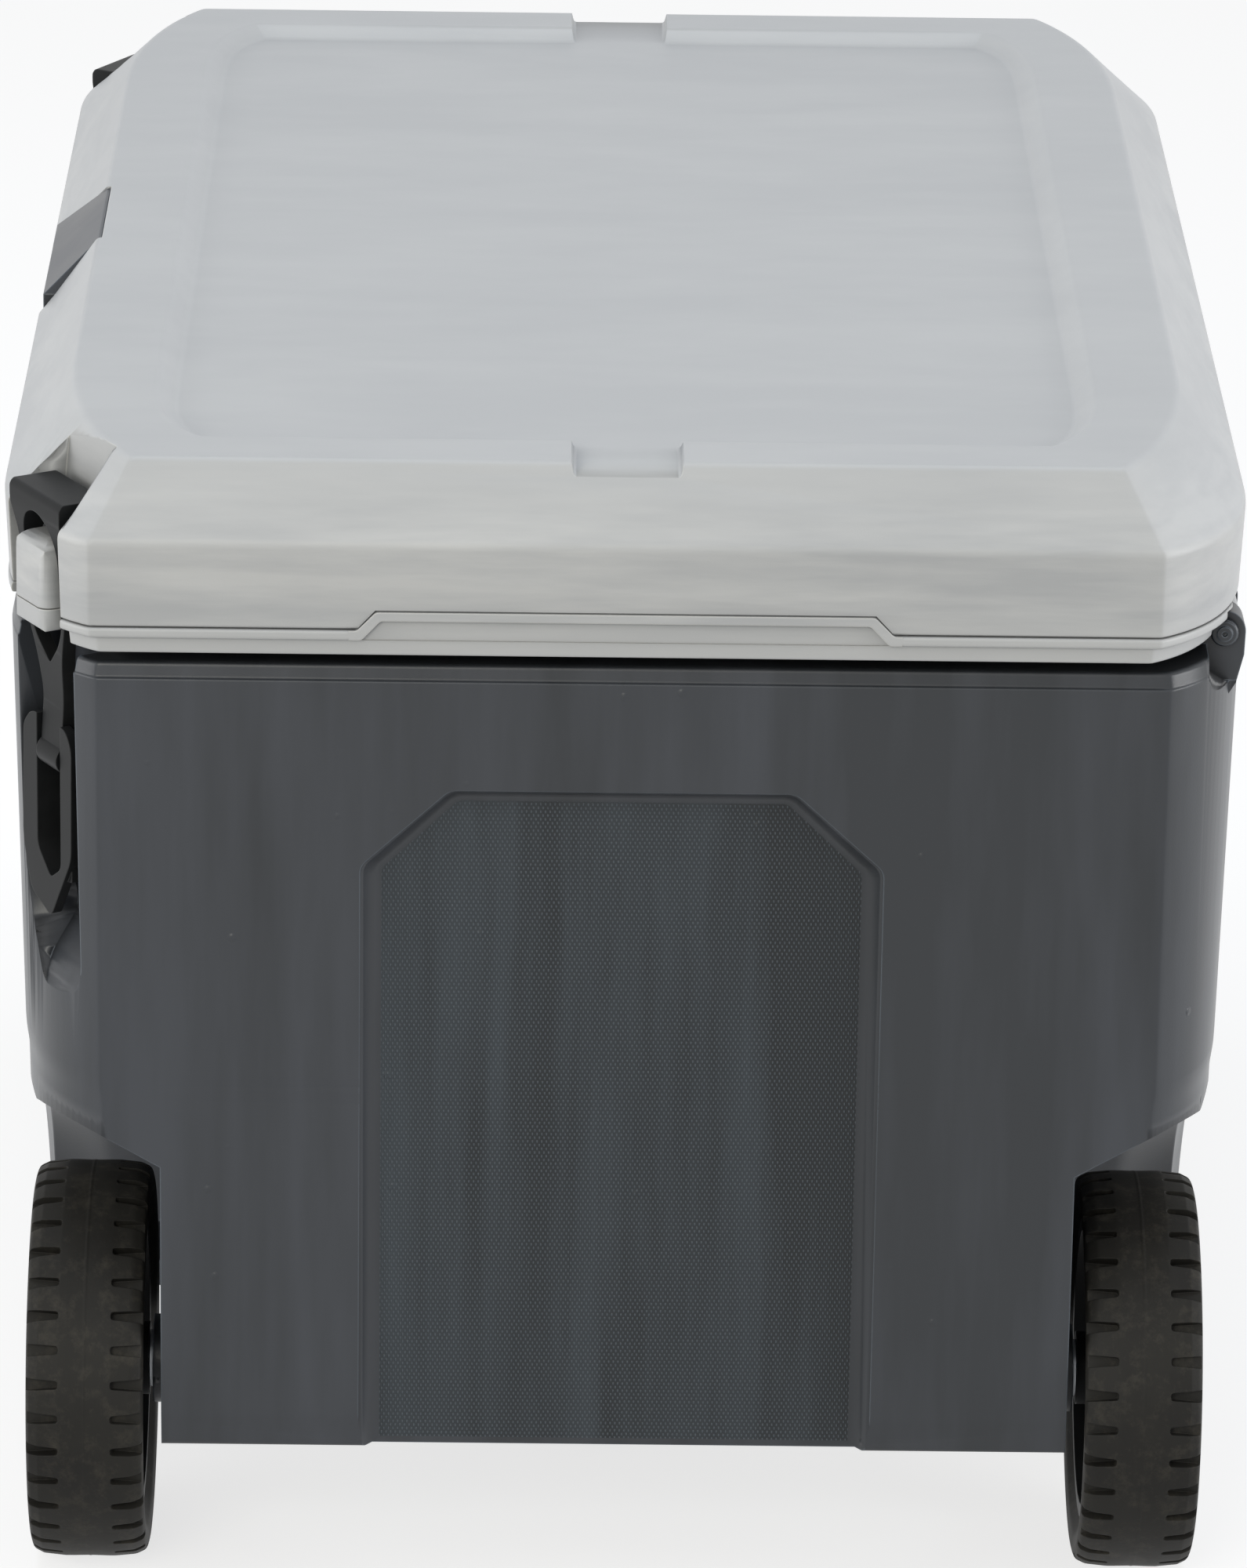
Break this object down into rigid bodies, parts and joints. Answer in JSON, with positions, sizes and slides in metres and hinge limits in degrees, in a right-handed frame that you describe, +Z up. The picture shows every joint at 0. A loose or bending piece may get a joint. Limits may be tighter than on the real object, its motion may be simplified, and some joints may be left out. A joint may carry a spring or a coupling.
{
  "type": "wheeled cooler",
  "caption": "Hard-sided wheeled cooler with a hinged insulated lid, corner latches and a telescoping tow handle.",
  "frame": {"origin": "on the ground under the middle of the object's box", "axes": "+X towards the wheels, -Y towards the latches (front), +Y towards the hinges, +Z up"},
  "size_m": [0.7096, 0.461, 0.458],
  "materials": {
    "lid_plastic": "fine matt grain",
    "tub_plastic": "fine matt grain",
    "black_nylon": "satin",
    "liner_plastic": "smooth",
    "foam": "rigid foam",
    "tyre_rubber": "matt",
    "soft_rubber": "matt",
    "steel": "zinc plated",
    "anodised_aluminium": "satin anodised"
  },
  "bodies": {
    "tub": {"body_shell": "tub_plastic", "body_foam": "foam", "inner_liner": "liner_plastic", "axle_rod": "steel", "axle_block_front": "tub_plastic", "axle_block_rear": "tub_plastic", "axle_washer_front": "steel", "axle_washer_rear": "steel", "hub_cap_front": "black_nylon", "hub_cap_rear": "black_nylon", "hinge_pin_wheel_end": "tub_plastic", "hinge_pin_handle_end": "tub_plastic", "latch_bezel_wheel_end": "black_nylon", "latch_bezel_handle_end": "black_nylon", "latch_pin_wheel_end": "steel", "latch_pin_handle_end": "steel", "foot_pad_front": "soft_rubber", "foot_pad_rear": "soft_rubber", "drain_fitting": "black_nylon", "drain_washer": "soft_rubber", "handle_bracket_lower": "black_nylon", "handle_bracket_upper": "black_nylon", "bracket_screw_lower_front": "steel", "bracket_screw_lower_rear": "steel", "bracket_screw_upper_front": "steel", "bracket_screw_upper_rear": "steel", "outer_tube_front": "anodised_aluminium", "outer_tube_rear": "anodised_aluminium"},
    "lid": {"lid_shell": "lid_plastic", "lid_base": "lid_plastic", "lid_foam": "foam", "lid_gasket": "soft_rubber", "front_plate": "tub_plastic"},
    "latch_at_wheel_end": {"latch_strap_wheel_end": "black_nylon"},
    "latch_at_handle_end": {"latch_strap_handle_end": "black_nylon"},
    "wheel_front": {"tyre_front": "tyre_rubber", "wheel_hub_front": "black_nylon"},
    "wheel_rear": {"tyre_rear": "tyre_rubber", "wheel_hub_rear": "black_nylon"},
    "handle_stage": {"middle_tube_front": "anodised_aluminium", "middle_tube_rear": "anodised_aluminium"},
    "handle_top": {"inner_tube_front": "anodised_aluminium", "inner_tube_rear": "anodised_aluminium", "handle_grip": "black_nylon"},
    "drain_plug": {"drain_cap": "black_nylon"}
  },
  "joints": [
    {"name": "lid_hinge", "type": "hinge", "parent": "tub", "child": "lid", "pos_m": [0.01275, 0.2216, 0.387], "axis": [-1, 0, 0], "range_deg": [0, 95]},
    {"name": "latch_swing_wheel_end", "type": "hinge", "parent": "tub", "child": "latch_at_wheel_end", "pos_m": [0.31825, -0.20834, 0.336], "axis": [0.866, 0.5, 0], "range_deg": [0, 115]},
    {"name": "latch_swing_handle_end", "type": "hinge", "parent": "tub", "child": "latch_at_handle_end", "pos_m": [-0.29275, -0.20834, 0.336], "axis": [0.866, -0.5, 0], "range_deg": [0, 115]},
    {"name": "wheel_spin_front", "type": "hinge", "parent": "tub", "child": "wheel_front", "pos_m": [0.27775, -0.2, 0.076], "axis": [0, 1, 0], "continuous": true},
    {"name": "wheel_spin_rear", "type": "hinge", "parent": "tub", "child": "wheel_rear", "pos_m": [0.27775, 0.2, 0.076], "axis": [0, 1, 0], "continuous": true},
    {"name": "handle_lower_slide", "type": "slide", "parent": "tub", "child": "handle_stage", "axis": [0, 0, 1], "range_m": [0, 0.2]},
    {"name": "handle_upper_slide", "type": "slide", "parent": "handle_stage", "child": "handle_top", "axis": [0, 0, 1], "range_m": [0, 0.2]},
    {"name": "drain_turn", "type": "hinge", "parent": "tub", "child": "drain_plug", "pos_m": [-0.31725, 0, 0.112], "axis": [-1, 0, 0], "range_deg": [0, 90]}
  ]
}
